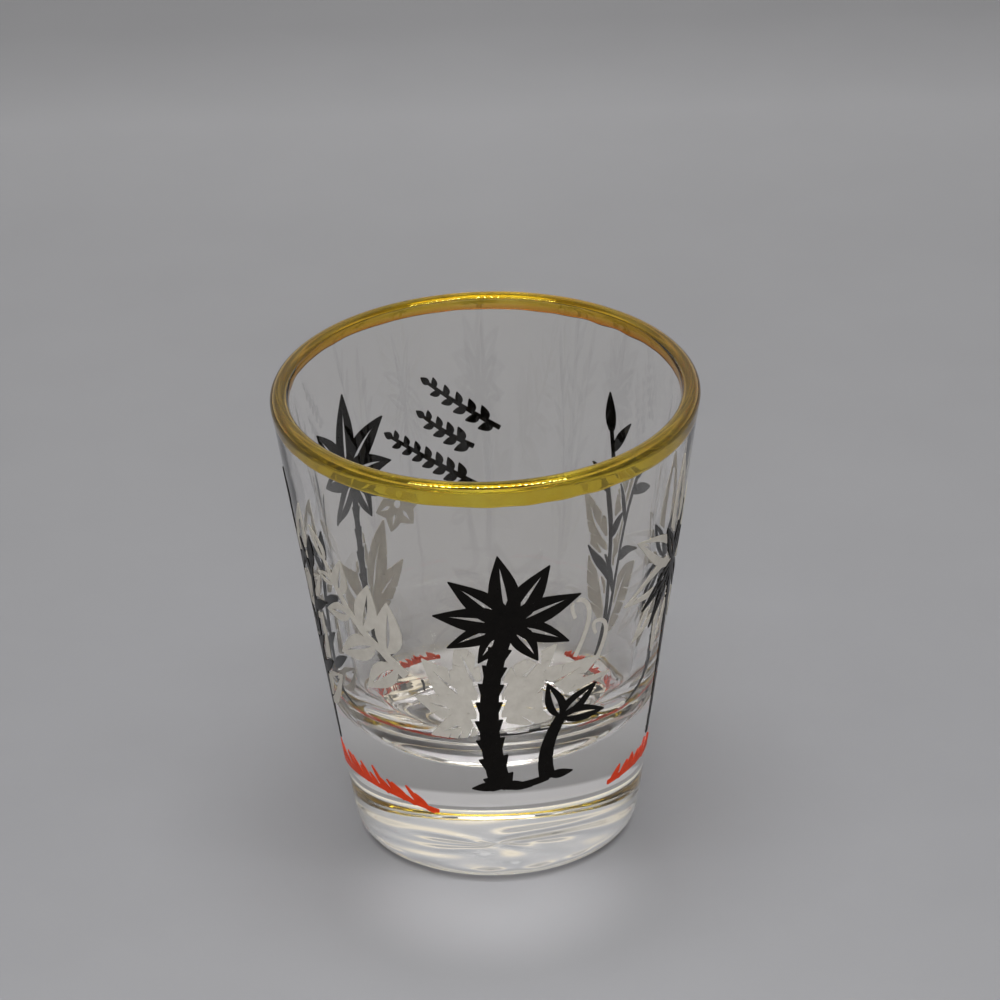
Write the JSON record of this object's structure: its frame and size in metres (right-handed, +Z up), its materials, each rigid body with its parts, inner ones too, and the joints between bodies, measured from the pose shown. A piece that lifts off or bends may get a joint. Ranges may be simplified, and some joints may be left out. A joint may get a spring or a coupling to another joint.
{
  "type": "shot glass",
  "caption": "Tapered clear pressed-glass shot glass with a thick solid base, a gold lustre band round its lip and a plant pattern fired on in black, white and red enamel.",
  "frame": {"origin": "centre of the foot plane, where the glass stands", "axes": "+Z up through the mouth; -Y is the front of the printed pattern; +X is to the viewer's right when looking at the front"},
  "size_m": [0.048, 0.048, 0.055],
  "materials": {
    "clear_glass": "clear pressed soda-lime glass, fire-polished, slightly wavy under the foot",
    "gold_film": "thin fired gold lustre, yellow and see-through, half mirror, with a slightly wandering lower edge",
    "black_enamel": "fired enamel print, semi-gloss",
    "white_enamel": "fired enamel print, thin and a little translucent, semi-gloss",
    "red_enamel": "fired enamel print, semi-gloss"
  },
  "bodies": {
    "root": {"glass_body": "clear_glass", "gold_rim_band": "gold_film", "front_plant": "black_enamel", "left_reeds": "black_enamel", "back_left_plant": "black_enamel", "right_palm": "black_enamel", "back_right_reeds": "black_enamel", "twig_upper": "black_enamel", "twig_middle": "black_enamel", "twig_lower": "black_enamel", "front_white_leaves": "white_enamel", "front_left_branch": "white_enamel", "left_white_leaves": "white_enamel", "back_left_white_leaves": "white_enamel", "right_white_leaves": "white_enamel", "back_right_white_leaves": "white_enamel", "grass_front_left": "red_enamel", "grass_front_right": "red_enamel", "grass_right": "red_enamel", "grass_back_right": "red_enamel", "grass_back_left": "red_enamel", "grass_left": "red_enamel"}
  },
  "joints": []
}
